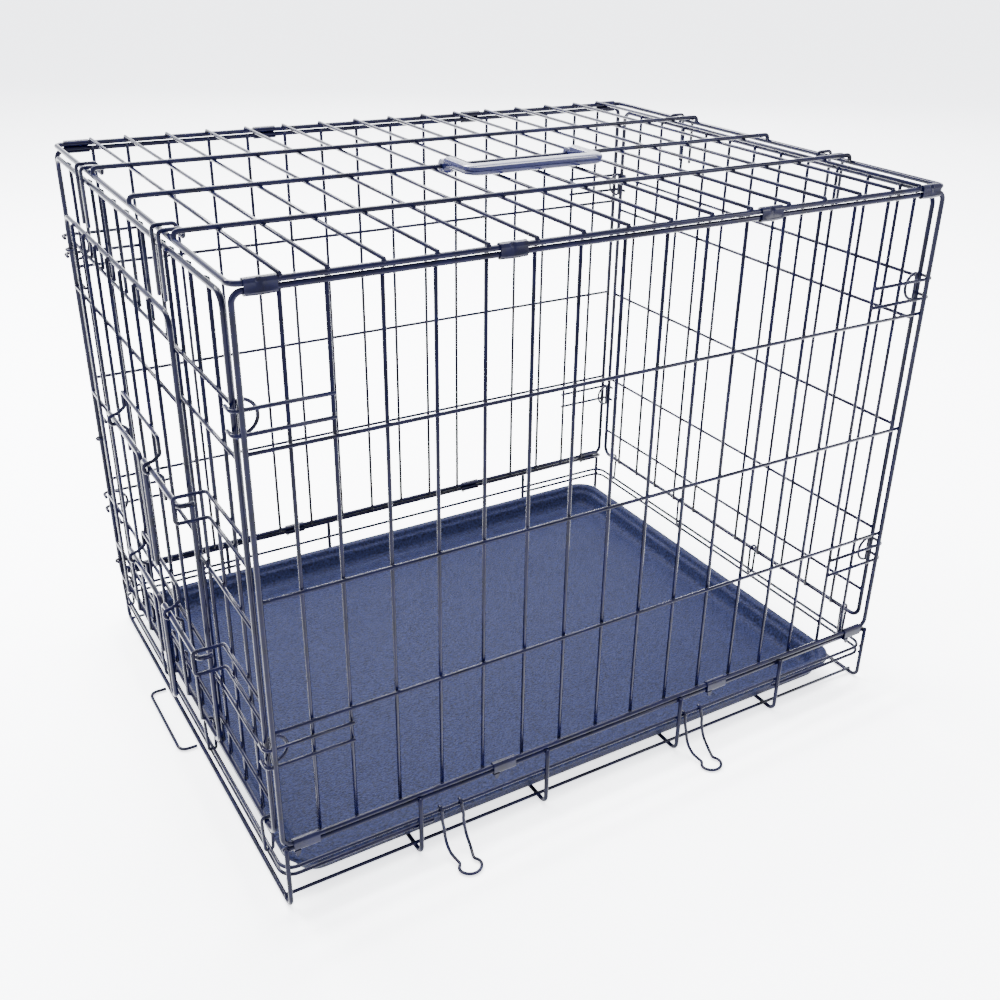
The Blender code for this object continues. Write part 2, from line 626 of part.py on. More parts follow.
base_frame()
tray()
tray_stop()
side_panel("front_side_panel", -1)
side_panel("back_side_panel", 1)
top_panel()
door_end_panel()
rear_end_panel()
door()
bolt("upper_bolt", BOLT_Z[0])
bolt("lower_bolt", BOLT_Z[1])
for label, level in EYE_Z:
    hinge_eye(f"door_hinge_eye_{label}", level)
for side_name, side_sign in (("front", -1), ("back", 1)):
    for number, clip_x in enumerate(CLIP_X, 1):
        sheet_clip(f"top_{side_name}_clip_{number}", clip_x, side_sign, SIDE_TOP_Z, TOP_RAIL_Z)
        sheet_clip(f"bottom_{side_name}_clip_{number}", clip_x, side_sign, BASE_TOP_Z, SIDE_BOTTOM_Z)
for end_name, end_sign in (("door_end", -1), ("rear_end", 1)):
    pivot_point = (end_sign * END_X, 0.0, END_BOTTOM_Z)
    for hook_name, hook_y in ROOF_HOOK_Y:
        end_hook(f"{end_name}_hook_{hook_name}", end_sign, hook_y)
    for number, ring_y in enumerate(RING_Y, 1):
        panel_ring(f"{end_name}_ring_{number}", end_sign, ring_y)
    for side_name, side_sign in (("front", -1), ("back", 1)):
        for level_name, level in D_RING_Z:
            d_ring(f"{end_name}_d_ring_{side_name}_{level_name}", end_sign, side_sign, level, pivot_point)
for number, fold_x in enumerate(FOLD_CLIP_X, 1):
    fold_clip(f"fold_clip_{number}", fold_x)
handle()
centre_on_floor()
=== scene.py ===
"""Looks of the folding wire dog crate: every wire, clip, ring and moulding as a fine round shape."""

import math

import bmesh
import bpy
from mathutils import Matrix, Vector


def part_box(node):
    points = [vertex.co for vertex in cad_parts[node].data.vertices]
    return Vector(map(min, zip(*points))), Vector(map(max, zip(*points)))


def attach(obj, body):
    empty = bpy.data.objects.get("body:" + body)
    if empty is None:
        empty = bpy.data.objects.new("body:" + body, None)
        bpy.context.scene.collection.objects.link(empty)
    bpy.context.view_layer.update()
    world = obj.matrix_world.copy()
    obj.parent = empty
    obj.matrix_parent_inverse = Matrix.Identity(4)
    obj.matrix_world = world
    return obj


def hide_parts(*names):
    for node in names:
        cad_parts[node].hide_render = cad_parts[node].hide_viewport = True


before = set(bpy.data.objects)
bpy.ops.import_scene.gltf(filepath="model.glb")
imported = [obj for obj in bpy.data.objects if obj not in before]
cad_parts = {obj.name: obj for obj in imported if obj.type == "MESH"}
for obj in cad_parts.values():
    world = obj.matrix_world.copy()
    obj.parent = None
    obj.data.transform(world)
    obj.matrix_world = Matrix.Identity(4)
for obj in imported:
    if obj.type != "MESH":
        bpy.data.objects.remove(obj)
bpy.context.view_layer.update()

# ---- sizes, in metres: those of the CAD parts, or a hair inside them ----------------------------
PITCH = 0.0378
GRID_R = 0.0015
FRAME_R = 0.0021
POST_R = 0.0019
SIDE_Y = 0.235
END_X = 0.3095
EDGE_X = 0.3075
TOP_RAIL_Z = 0.5006
SIDE_TOP_Z = 0.4960
BASE_TOP_Z = 0.0580
SIDE_BOTTOM_Z = 0.0626
WELD_FRAME = 0.0031
WELD_GRID = 0.0026
WIRE_SIDES = 12
FRAME_SIDES = 16
FRAME_BEND_R = 0.0075      # corners of side and roof frames, and of the base's U wires
END_BEND_R = 0.0100        # corners of end panel and door frames
BELT_BEND_R = 0.0120
HOOKED_BEND_R = 0.0045     # bends of hooked wires and roof runners
SMALL_BEND_R = 0.0032
UPRIGHT_END = 0.0008       # how far thin wires run past the frame wires
CROSS_END = 0.0010
ROW_END = 0.0012
FRAME_WELD = (0.0017, 0.0021)      # weld beads: distance from the wire's centre, then radius
END_WELD = (0.0014, 0.0020)
RUNNER_WELD = (0.0014, 0.0019)
BASE_WELD_R = 0.0019
TOP_RAIL_WELD_R = 0.0023
GRID_WELD = 0.0012
SIDE_ROWS = (0.3900, 0.2795, 0.1690)
SIDE_LIMITS = (0.2457, 0.2765)
HOOK_ROWS = (0.4205, 0.4035, 0.1550, 0.1390)
END_HALF = 0.2240
END_COLUMNS = [k * PITCH for k in range(-5, 6)]
END_ROWS = (0.3820, 0.2795, 0.1690)
JAMB_ROWS = (0.3820, 0.2500, 0.1400)
END_BOTTOM_Z = 0.0655
END_TOP_Z = 0.4925
HEADER_Z = 0.4200
SILL_Z = 0.0980
JAMB_Y = (-0.0945, 0.1890)
DOOR_X = 0.3142
DOOR_Y = (-0.1130, 0.2000)
DOOR_Z = (0.0780, 0.4470)
DOOR_R = 0.0020
DOOR_ROWS = (0.3820, 0.2795, 0.1690, 0.1150)
BOLT_X = 0.3290
BOLT_R = 0.0021
BOLT_Z = (0.3120, 0.1800)
BOLT_TIP_Y = -0.1335
BOLT_END_Y = 0.0620
BOLT_GRIP_Y = (-0.0330, -0.0420)
BOLT_GRIP_DROP = 0.0950
GUIDE_Y = (0.0450, -0.0600)
KEEPER_Y = -0.1385
KEEPER_HALF = 0.0105
HINGE_EYE_Z = (("top", 0.4160), ("middle", 0.2300), ("bottom", 0.0930))
HINGE_EYE_R = 0.0038
POST_Y = SIDE_Y + 0.0033
POSTS = (0.3065, 0.1930, 0.0720)
FLOOR_Z = 0.0022
FLOOR_RAIL_Y = 0.2270
BELT_Y = SIDE_Y + 0.0005
BELT_Z = 0.0382
LAP_Z = 0.0312
LAP_X = (-0.1800, 0.1890)
TRAY_X = (-0.3000, 0.2860)
TRAY_HALF = 0.2290
TRAY_Z = (0.0070, 0.0290)
RUNNERS = (-0.1250, -0.0150, 0.0950)
RUNNER_R = 0.0020
RUNNER_Z = TOP_RAIL_Z + WELD_FRAME + GRID_R + RUNNER_R - 0.0005
CLIP_X = (-0.2894, -0.1140, 0.1140, 0.2894)
CLIP_HALF = 0.0106
END_HOOK_Y = (("front", -0.1030), ("back", 0.1170))
END_HOOK_HALF = 0.0080
END_HOOK_REACH = 0.0105
END_HOOK_Z = (0.4560, 0.4982)
PANEL_RING_Y = (-0.2050, -0.0650, 0.0650, 0.2050)
D_RING_Z = (("upper", 0.4120), ("lower", 0.1470))
D_RING_R = 0.0120
FOLD_CLIP_X = (-0.1650, 0.0880)
FOLD_CLIP_R = 0.0014
FOLD_CLIP_HALF = 0.0092
FOLD_LOOP = (-0.2694, 0.0020, 0.0098)      # y, z and radius of the round end
STOP_X = -0.3260
STOP_Y = (-0.0120, 0.0880)
HANDLE_X = (-0.0520, 0.0820)
HANDLE_Y = (-0.0640, -0.0195)
HANDLE_Z = 0.5070
HANDLE_BAR = 0.0150
HANDLE_ARM = 0.0100
HANDLE_BEND_R = (0.0110, 0.0045)   # outer and inner corners
HANDLE_HOOK_R = 0.0062
RING_R = 0.0013

# ---- where the CAD model's own origin lies in this frame -----------------------------------------
base_low, base_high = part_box("base_frame")
tray_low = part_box("tray")[0]
ORIGIN = Vector(((base_low.x + base_high.x) / 2, (base_low.y + base_high.y) / 2, tray_low.z - TRAY_Z[0]))


# ---- shapes --------------------------------------------------------------------------------------
class Shape:
    """Collects vertices and faces of one piece."""

    def __init__(self):
        self.verts = []
        self.faces = []

    def add(self, verts, faces):
        start = len(self.verts)
        self.verts.extend(verts)
        self.faces.extend([tuple(start + i for i in face) for face in faces])

    def build(self, name, material, body, nodes, sharp=50):
        """Makes the piece, moves it to the row frame and lets it ride on its body."""
        mesh = bpy.data.meshes.new(name)
        mesh.from_pydata([tuple(Vector(v) + ORIGIN) for v in self.verts], [], self.faces)
        bm = bmesh.new()
        bm.from_mesh(mesh)
        bmesh.ops.recalc_face_normals(bm, faces=bm.faces)
        bm.to_mesh(mesh)
        bm.free()
        mesh.shade_smooth()
        mesh.set_sharp_from_angle(angle=math.radians(sharp))
        mesh.materials.append(material)
        piece = bpy.data.objects.new(name, mesh)
        bpy.context.scene.collection.objects.link(piece)
        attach(piece, body)
        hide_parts(*nodes)


def rounded(points, radius, closed=False, steps=7):
    """A polyline whose corners are replaced by arcs."""
    count = len(points)
    path = []
    for i, corner in enumerate(points):
        here = Vector(corner)
        if not closed and i in (0, count - 1):
            path.append(here)
            continue
        back = Vector(points[i - 1]) - here
        ahead = Vector(points[(i + 1) % count]) - here
        angle = back.angle(ahead)
        reach = min(radius / math.tan(angle / 2), 0.49 * back.length, 0.49 * ahead.length)
        bend = reach * math.tan(angle / 2)
        middle = here + (back.normalized() + ahead.normalized()).normalized() * bend / math.sin(angle / 2)
        first = here + back.normalized() * reach - middle
        last = here + ahead.normalized() * reach - middle
        sweep = first.angle(last)
        for k in range(steps + 1):
            t = k / steps
            path.append(middle + first * (math.sin((1 - t) * sweep) / math.sin(sweep))
                        + last * (math.sin(t * sweep) / math.sin(sweep)))
    return path


def smooth_line(points, steps=6):
    """A smooth line through the points (Catmull-Rom)."""
    pts = [Vector(p) for p in points]
    pts = [pts[0] * 2 - pts[1]] + pts + [pts[-1] * 2 - pts[-2]]
    path = []
    for a, b, c, d in zip(pts, pts[1:], pts[2:], pts[3:]):
        for k in range(steps):
            t = k / steps
            path.append(((b * 2) + (c - a) * t + (a * 2 - b * 5 + c * 4 - d) * t * t
                         + (b * 3 - a - c * 3 + d) * t * t * t) * 0.5)
    path.append(pts[-2])
    return path


def arc(centre, radius, start, end, steps, along, across):
    """Points round a centre in the plane of two unit axes, angles in degrees."""
    path = []
    for k in range(steps + 1):
        t = math.radians(start + (end - start) * k / steps)
        path.append(Vector(centre) + Vector(along) * radius * math.cos(t)
                    + Vector(across) * radius * math.sin(t))
    return path


def band(rows, size, closed=False):
    """Faces between neighbouring rows that have the same number of points."""
    faces = []
    for i in range(rows if closed else rows - 1):
        j = (i + 1) % rows
        for k in range(size):
            m = (k + 1) % size
            faces.append((i * size + k, i * size + m, j * size + m, j * size + k))
    return faces


def tube(shape, points, radius, sides=WIRE_SIDES, closed=False):
    """Adds one round wire along a line, with softly cut ends."""
    pts = [Vector(p) for p in points]
    count = len(pts)
    tangents = []
    for i in range(count):
        before = pts[i - 1] if closed or i else pts[i]
        after = pts[(i + 1) % count] if closed or i < count - 1 else pts[i]
        tangents.append((after - before).normalized())
    normal = tangents[0].orthogonal().normalized()
    normals = [normal]
    for i in range(1, count):
        normal = tangents[i - 1].rotation_difference(tangents[i]) @ normal
        normals.append(normal)
    twist = 0.0
    if closed:
        last = tangents[-1].rotation_difference(tangents[0]) @ normal
        twist = math.atan2(last.cross(normals[0]).dot(tangents[0]), last.dot(normals[0]))
    rings = []
    for i in range(count):
        scale = 1.0
        if not closed and count > 2 or closed:
            before = (pts[i] - pts[i - 1]).normalized() if closed or i else tangents[i]
            scale = 1.0 / max(0.5, abs(before.dot(tangents[i])))
        turn = Matrix.Rotation(twist * i / count, 3, tangents[i])
        rings.append((pts[i], turn @ normals[i], tangents[i], radius * min(scale, 1.05)))
    if not closed:
        bevel = radius * 0.35
        head, tail = rings[0], rings[-1]
        rings = ([(head[0], head[1], head[2], radius - bevel),
                  (head[0] + head[2] * bevel, head[1], head[2], radius)]
                 + rings[1:-1]
                 + [(tail[0] - tail[2] * bevel, tail[1], tail[2], radius),
                    (tail[0], tail[1], tail[2], radius - bevel)])
    verts = []
    for centre, side, tangent, size in rings:
        other = tangent.cross(side)
        for k in range(sides):
            t = 2 * math.pi * k / sides
            verts.append(centre + side * size * math.cos(t) + other * size * math.sin(t))
    total = len(rings)
    faces = band(total, sides, closed)
    if not closed:
        faces.append(tuple(range(sides - 1, -1, -1)))
        faces.append(tuple((total - 1) * sides + k for k in range(sides)))
    shape.add(verts, faces)


def weld(shape, place, size=0.00175):
    """Adds a small round weld bead where two wires cross."""
    around, levels = 8, 5
    verts = [Vector(place) + Vector((0, 0, size))]
    for i in range(1, levels):
        a = math.pi * i / levels
        for k in range(around):
            t = 2 * math.pi * k / around
            verts.append(Vector(place) + Vector((math.sin(a) * math.cos(t), math.sin(a) * math.sin(t),
                                                 math.cos(a))) * size)
    verts.append(Vector(place) - Vector((0, 0, size)))
    last = len(verts) - 1
    faces = []
    for k in range(around):
        m = (k + 1) % around
        faces.append((0, 1 + k, 1 + m))
        faces.append((last, last - around + m, last - around + k))
        for i in range(levels - 2):
            row = 1 + i * around
            faces.append((row + k, row + around + k, row + around + m, row + m))
    shape.add(verts, faces)


# ---- materials -----------------------------------------------------------------------------------
def material(name, colour, roughness, spread, shine=0.5, size=60.0):
    """A plain finish whose colour and gloss drift a little over the surface."""
    mat = bpy.data.materials.new(name)
    mat.use_nodes = True
    nodes, links = mat.node_tree.nodes, mat.node_tree.links
    shader = nodes["Principled BSDF"]
    shader.inputs["Specular IOR Level"].default_value = shine
    place = nodes.new("ShaderNodeTexCoord")
    drift = nodes.new("ShaderNodeTexNoise")
    drift.inputs["Scale"].default_value = size
    drift.inputs["Detail"].default_value = 5.0
    links.new(place.outputs["Object"], drift.inputs["Vector"])
    tone = nodes.new("ShaderNodeValToRGB")
    tone.color_ramp.elements[0].position = 0.3
    tone.color_ramp.elements[1].position = 0.7
    tone.color_ramp.elements[0].color = (*[c * (1 - spread) for c in colour], 1)
    tone.color_ramp.elements[1].color = (*[c * (1 + spread) for c in colour], 1)
    links.new(drift.outputs["Fac"], tone.inputs["Fac"])
    links.new(tone.outputs["Color"], shader.inputs["Base Color"])
    gloss = nodes.new("ShaderNodeMapRange")
    gloss.inputs["To Min"].default_value = roughness * 0.8
    gloss.inputs["To Max"].default_value = roughness * 1.2
    links.new(drift.outputs["Fac"], gloss.inputs["Value"])
    links.new(gloss.outputs["Result"], shader.inputs["Roughness"])
    return mat


def grain(mat, scale, depth, strength):
    """Adds fine surface relief to a finish."""
    nodes, links = mat.node_tree.nodes, mat.node_tree.links
    place = nodes.new("ShaderNodeTexCoord")
    fine = nodes.new("ShaderNodeTexNoise")
    fine.inputs["Scale"].default_value = scale
    fine.inputs["Detail"].default_value = 3.0
    links.new(place.outputs["Object"], fine.inputs["Vector"])
    bump = nodes.new("ShaderNodeBump")
    bump.inputs["Distance"].default_value = depth
    bump.inputs["Strength"].default_value = strength
    links.new(fine.outputs["Fac"], bump.inputs["Height"])
    links.new(bump.outputs["Normal"], nodes["Principled BSDF"].inputs["Normal"])
    return mat


WIRE_COLOUR = (0.0010, 0.0012, 0.0110)
FITTING_COLOUR = (0.0012, 0.0014, 0.0115)
PAN_COLOUR = (0.0060, 0.0078, 0.0250)
MOULDED_COLOUR = (0.0060, 0.0070, 0.0360)
WIRE = grain(material("black_coated_wire", WIRE_COLOUR, roughness=0.17, spread=0.5, shine=0.10),
             scale=900, depth=0.0001, strength=0.10)
FITTING = grain(material("black_coated_fitting", FITTING_COLOUR, roughness=0.15, spread=0.5, shine=0.12),
                scale=900, depth=0.0001, strength=0.10)
SHEET = grain(material("black_coated_sheet", FITTING_COLOUR, roughness=0.20, spread=0.5, shine=0.14),
              scale=700, depth=0.0001, strength=0.15)
PAN = grain(material("slate_pebbled_plastic", PAN_COLOUR, roughness=0.38, spread=0.7, shine=0.04, size=420.0),
            scale=560, depth=0.0012, strength=1.0)
MOULDED = grain(material("slate_moulded_plastic", MOULDED_COLOUR, roughness=0.20, spread=0.15, shine=0.30),
                scale=500, depth=0.0002, strength=0.15)


# ---- wire panels ---------------------------------------------------------------------------------
def columns():
    """Places along the crate of the uprights of the long sides and the roof's cross wires."""
    half = [PITCH * (k + 0.5) for k in range(6)] + list(SIDE_LIMITS)
    return [-x for x in reversed(half)] + half


def side_panel(name, side):
    """Long side with its frame, uprights, long wires and the hooked wires at its corners."""
    y = side * SIDE_Y
    inner = y - side * WELD_FRAME
    row_y = inner + side * WELD_GRID
    shape = Shape()
    corners = [(-EDGE_X, y, SIDE_BOTTOM_Z), (EDGE_X, y, SIDE_BOTTOM_Z),
               (EDGE_X, y, SIDE_TOP_Z), (-EDGE_X, y, SIDE_TOP_Z)]
    tube(shape, rounded(corners, FRAME_BEND_R, True, 9), FRAME_R, FRAME_SIDES, True)
    for x in columns():
        tube(shape, [(x, inner, SIDE_BOTTOM_Z - UPRIGHT_END), (x, inner, SIDE_TOP_Z + UPRIGHT_END)], GRID_R)
        for z in (SIDE_BOTTOM_Z, SIDE_TOP_Z):
            weld(shape, (x, y - side * FRAME_WELD[0], z), FRAME_WELD[1])
        for z in SIDE_ROWS:
            weld(shape, (x, inner + side * GRID_WELD, z))
    for z in SIDE_ROWS:
        tube(shape, [(-EDGE_X - ROW_END, row_y, z), (EDGE_X + ROW_END, row_y, z)], GRID_R)
    hook_y = side * (END_HALF - 0.0020)
    for z in HOOK_ROWS:
        for end in (-1, 1):
            tip_x = end * (END_X + FRAME_R + GRID_R + 0.0008)
            path = [(end * (SIDE_LIMITS[0] - 0.0015), row_y, z), (tip_x, row_y, z), (tip_x, hook_y, z)]
            tube(shape, rounded(path, HOOKED_BEND_R), GRID_R)
            for x in SIDE_LIMITS:
                weld(shape, (end * x, inner + side * GRID_WELD, z))
    shape.build(f"{name}_wires", WIRE, "crate_body", [name])


def roof():
    """Roof frame, cross wires and the three stout runners bent down over the end rails."""
    z = TOP_RAIL_Z
    cross_z = z + WELD_FRAME
    shape = Shape()
    corners = [(-EDGE_X, -SIDE_Y, z), (EDGE_X, -SIDE_Y, z), (EDGE_X, SIDE_Y, z), (-EDGE_X, SIDE_Y, z)]
    tube(shape, rounded(corners, FRAME_BEND_R, True, 9), FRAME_R, FRAME_SIDES, True)
    for x in columns():
        tube(shape, [(x, -SIDE_Y - CROSS_END, cross_z), (x, SIDE_Y + CROSS_END, cross_z)], GRID_R)
        for y in (-SIDE_Y, SIDE_Y):
            weld(shape, (x, y, z + FRAME_WELD[0]), FRAME_WELD[1])
        for y in RUNNERS:
            weld(shape, (x, y, cross_z + RUNNER_WELD[0]), RUNNER_WELD[1])
    for y in RUNNERS:
        path = [(-EDGE_X, y, z - ROW_END), (-EDGE_X, y, RUNNER_Z),
                (EDGE_X, y, RUNNER_Z), (EDGE_X, y, z - ROW_END)]
        tube(shape, rounded(path, HOOKED_BEND_R), RUNNER_R, 14)
    shape.build("top_panel_wires", WIRE, "crate_body", ["top_panel"])


def end_grid(shape, end, rows, uprights):
    """Frame and thin wires of an end panel; rows and uprights are (place, low, high)."""
    x = end * END_X
    corners = [(x, -END_HALF, END_BOTTOM_Z), (x, END_HALF, END_BOTTOM_Z),
               (x, END_HALF, END_TOP_Z), (x, -END_HALF, END_TOP_Z)]
    tube(shape, rounded(corners, END_BEND_R, True, 9), FRAME_R, FRAME_SIDES, True)
    column_x = end * (END_X - WELD_FRAME)
    row_x = column_x + end * WELD_GRID
    for y, low, high in uprights:
        tube(shape, [(column_x, y, low - UPRIGHT_END), (column_x, y, high + UPRIGHT_END)], GRID_R)
        for z in (low, high):
            weld(shape, (column_x + end * END_WELD[0], y, z), END_WELD[1])
    for z, low, high in rows:
        tube(shape, [(row_x, low, z), (row_x, high, z)], GRID_R)
        for y, bottom, top in uprights:
            if low < y < high and bottom < z < top:
                weld(shape, (column_x + end * GRID_WELD, y, z))


def keeper(shape, z):
    """Wire staple standing out of the end panel; its feet run on to the panel's edge."""
    root_x = -(END_X - WELD_FRAME + WELD_GRID)
    out_x = -(BOLT_X + BOLT_R + GRID_R + 0.0010)
    high, low = z + KEEPER_HALF, z - KEEPER_HALF
    path = [(root_x, -END_HALF, high), (root_x, KEEPER_Y, high), (out_x, KEEPER_Y, high),
            (out_x, KEEPER_Y, low), (root_x, KEEPER_Y, low), (root_x, -END_HALF, low)]
    tube(shape, rounded(path, SMALL_BEND_R), GRID_R)


def rear_end_panel():
    """End panel without a doorway."""
    shape = Shape()
    rows = [(z, -END_HALF, END_HALF) for z in (HEADER_Z, *END_ROWS, SILL_Z)]
    end_grid(shape, 1, rows, [(y, END_BOTTOM_Z, END_TOP_Z) for y in END_COLUMNS])
    shape.build("rear_end_panel_wires", WIRE, "rear_end_panel", ["rear_end_panel"])


def door_end_panel():
    """End panel with the doorway, short wires beside it and two keepers."""
    shape = Shape()
    rows = [(z, -END_HALF, END_HALF) for z in (HEADER_Z, SILL_Z)]
    for z in JAMB_ROWS:
        rows += [(z, -END_HALF, JAMB_Y[0]), (z, JAMB_Y[1], END_HALF)]
    uprights = [(JAMB_Y[0], END_BOTTOM_Z, END_TOP_Z)]
    for y in END_COLUMNS:
        if JAMB_Y[0] + 0.001 < y < JAMB_Y[1] - 0.001:
            uprights += [(y, END_BOTTOM_Z, SILL_Z), (y, HEADER_Z, END_TOP_Z)]
        else:
            uprights.append((y, END_BOTTOM_Z, END_TOP_Z))
    end_grid(shape, -1, rows, uprights)
    for z in BOLT_Z:
        keeper(shape, z)
        for y in END_COLUMNS[:2]:
            for step in (-KEEPER_HALF, KEEPER_HALF):
                weld(shape, (-(END_X - WELD_FRAME + GRID_WELD), y, z + step))
    shape.build("door_end_panel_wires", WIRE, "door_end_panel", ["door_end_panel"])


# ---- door and bolts --------------------------------------------------------------------------------
def bolt_guide(shape, z):
    """Inverted U of wire whose legs bow out round the bolt."""
    plate_x = -(DOOR_X + WELD_FRAME - WELD_GRID + 0.0052)
    bow = BOLT_R + 0.0023
    sides = []
    for y in GUIDE_Y:
        leg = [Vector((plate_x, y, z + 0.024)), Vector((plate_x, y, z + 0.0095)),
               Vector((-BOLT_X + 0.0034, y, z + 0.0052))]
        leg += arc((-BOLT_X, y, z), bow, 90, 270, 10, (1, 0, 0), (0, 0, 1))
        leg += [Vector((-BOLT_X + 0.0034, y, z - 0.0052)), Vector((plate_x, y, z - 0.0095)),
                Vector((plate_x, y, z - 0.030))]
        sides.append(leg)
    line = list(reversed(sides[0])) + sides[1]
    tube(shape, rounded(line, 0.0030, steps=4), GRID_R)


def door():
    """Door frame with its uprights outside it, its long wires and both bolt guides."""
    x = -DOOR_X
    out_x = x - WELD_FRAME
    row_x = out_x + WELD_GRID
    low, high = DOOR_Z
    shape = Shape()
    corners = [(x, DOOR_Y[0], low), (x, DOOR_Y[1], low), (x, DOOR_Y[1], high), (x, DOOR_Y[0], high)]
    tube(shape, rounded(corners, END_BEND_R, True, 9), DOOR_R, FRAME_SIDES, True)
    for z in DOOR_ROWS:
        tube(shape, [(row_x, DOOR_Y[0], z), (row_x, DOOR_Y[1], z)], GRID_R)
    step = (DOOR_Y[1] - DOOR_Y[0]) / 8
    for k in range(1, 8):
        y = DOOR_Y[0] + step * k
        tube(shape, [(out_x, y, low - UPRIGHT_END), (out_x, y, high + UPRIGHT_END)], GRID_R)
        for z in (low, high):
            weld(shape, (out_x + END_WELD[0], y, z), END_WELD[1])
        for z in DOOR_ROWS:
            weld(shape, (out_x + GRID_WELD, y, z))
    for z in BOLT_Z:
        bolt_guide(shape, z)
    shape.build("door_wires", WIRE, "door", ["door"])


def bolt(name, z):
    """Slide bolt: shaft, hanging hairpin grip and the tip turned inward."""
    x = -BOLT_X
    left, right = BOLT_GRIP_Y
    drop = z - BOLT_GRIP_DROP
    path = [(x, BOLT_END_Y, z), (x, left, z), (x, left, drop), (x, right, drop), (x, right, z),
            (x, BOLT_TIP_Y, z), (x + 0.0120, BOLT_TIP_Y, z)]
    shape = Shape()
    tube(shape, rounded(path, 0.00445, steps=9), BOLT_R, 16)
    shape.build(f"{name}_wire", FITTING, name, [name])


def hinge_eye(name, z):
    """Ring on the end panel that the door's back upright turns in."""
    shape = Shape()
    ring = arc((-DOOR_X, DOOR_Y[1], z), HINGE_EYE_R, 0, 330, 18, (1, 0, 0), (0, 1, 0))
    tube(shape, ring, RING_R)
    shape.build(f"{name}_wire", FITTING, "door_end_panel", [name])


# ---- base, tray and stop -----------------------------------------------------------------------------
def base():
    """U wires under the floor, top rails, a belt, lapped end wires and two long floor wires."""
    shape = Shape()
    for x in [sign * x for x in POSTS for sign in (-1, 1)]:
        top = BASE_TOP_Z + 0.0030
        path = [(x, -POST_Y, top), (x, -POST_Y, FLOOR_Z), (x, POST_Y, FLOOR_Z), (x, POST_Y, top)]
        tube(shape, rounded(path, FRAME_BEND_R, steps=9), POST_R, 14)
        for side in (-1, 1):
            weld(shape, (x, side * (SIDE_Y + 0.0019), BASE_TOP_Z), TOP_RAIL_WELD_R)
            weld(shape, (x, side * FLOOR_RAIL_Y, FLOOR_Z + 0.0015), BASE_WELD_R)
            weld(shape, (x, side * (BELT_Y + 0.0015), BELT_Z), BASE_WELD_R)
            if x < LAP_X[0] or x > LAP_X[1]:
                weld(shape, (x, side * (BELT_Y + 0.0015), LAP_Z), BASE_WELD_R)
    for y in (-SIDE_Y, SIDE_Y):
        rail = [(-EDGE_X - ROW_END, y, BASE_TOP_Z), (EDGE_X + ROW_END, y, BASE_TOP_Z)]
        tube(shape, rail, FRAME_R, FRAME_SIDES)
    for y in (-FLOOR_RAIL_Y, FLOOR_RAIL_Y):
        tube(shape, [(-0.3080, y, FLOOR_Z + 0.0028), (0.3080, y, FLOOR_Z + 0.0028)], GRID_R)
    corners = [(-END_X, -BELT_Y, BELT_Z), (END_X, -BELT_Y, BELT_Z),
               (END_X, BELT_Y, BELT_Z), (-END_X, BELT_Y, BELT_Z)]
    tube(shape, rounded(corners, BELT_BEND_R, True, 9), GRID_R, WIRE_SIDES, True)
    for end_x, lap_x in zip((-END_X, END_X), LAP_X):
        corners = [(lap_x, -BELT_Y, LAP_Z), (end_x, -BELT_Y, LAP_Z),
                   (end_x, BELT_Y, LAP_Z), (lap_x, BELT_Y, LAP_Z)]
        tube(shape, rounded(corners, BELT_BEND_R, steps=9), GRID_R)
    shape.build("base_frame_wires", WIRE, "crate_body", ["base_frame"])


def tray():
    """Moulded pan with a rolled rim, a stepped wall and a flat pebbled floor."""
    low, high = TRAY_Z
    middle = (TRAY_X[0] + TRAY_X[1]) / 2
    half = (TRAY_X[1] - TRAY_X[0]) / 2
    wall = 0.0022
    section = [(0.0130, low), (0.0112, low + 0.0008), (0.0100, low + 0.0035), (0.0074, high - 0.0066),
               (0.0052, high - 0.0046), (0.0008, high - 0.0044), (0.0002, high - 0.0036),
               (0.0002, high - 0.0020), (0.0008, high - 0.0006), (0.0022, high),
               (0.0060, high - 0.0001), (0.0080, high - 0.0006), (0.0090, high - 0.0022),
               (0.0096, high - 0.0044), (0.0116, high - 0.0054), (0.0134, high - 0.0060),
               (0.0146, high - 0.0080), (0.0166, low + wall + 0.0046), (0.0196, low + wall + 0.0016),
               (0.0240, low + wall + 0.0002), (0.0300, low + wall)]
    shape = Shape()
    rings = []
    for inset, z in section:
        a, b = half - inset, TRAY_HALF - inset
        corners = [(middle - a, -b, z), (middle + a, -b, z), (middle + a, b, z), (middle - a, b, z)]
        rings.append(rounded(corners, max(0.026 - inset * 0.6, 0.008), True, 10))
    size = len(rings[0])
    verts = [p for ring in rings for p in ring]
    faces = [tuple(reversed(range(size)))] + band(len(rings), size)
    faces.append(tuple((len(rings) - 1) * size + k for k in range(size)))
    shape.add(verts, faces)
    shape.build("tray_pan", PAN, "tray", ["tray"], 65)


def tray_stop():
    """Wire loop that lies flat at the door end, in front of the tray."""
    root = -(0.3065 + POST_R + 0.0004 + GRID_R)
    path = [(root, STOP_Y[1], FLOOR_Z), (STOP_X, STOP_Y[1], FLOOR_Z),
            (STOP_X, STOP_Y[0], FLOOR_Z), (root, STOP_Y[0], FLOOR_Z)]
    shape = Shape()
    tube(shape, rounded(path, 0.0070), GRID_R)
    shape.build("tray_stop_wire", FITTING, "tray_stop", ["tray_stop"])


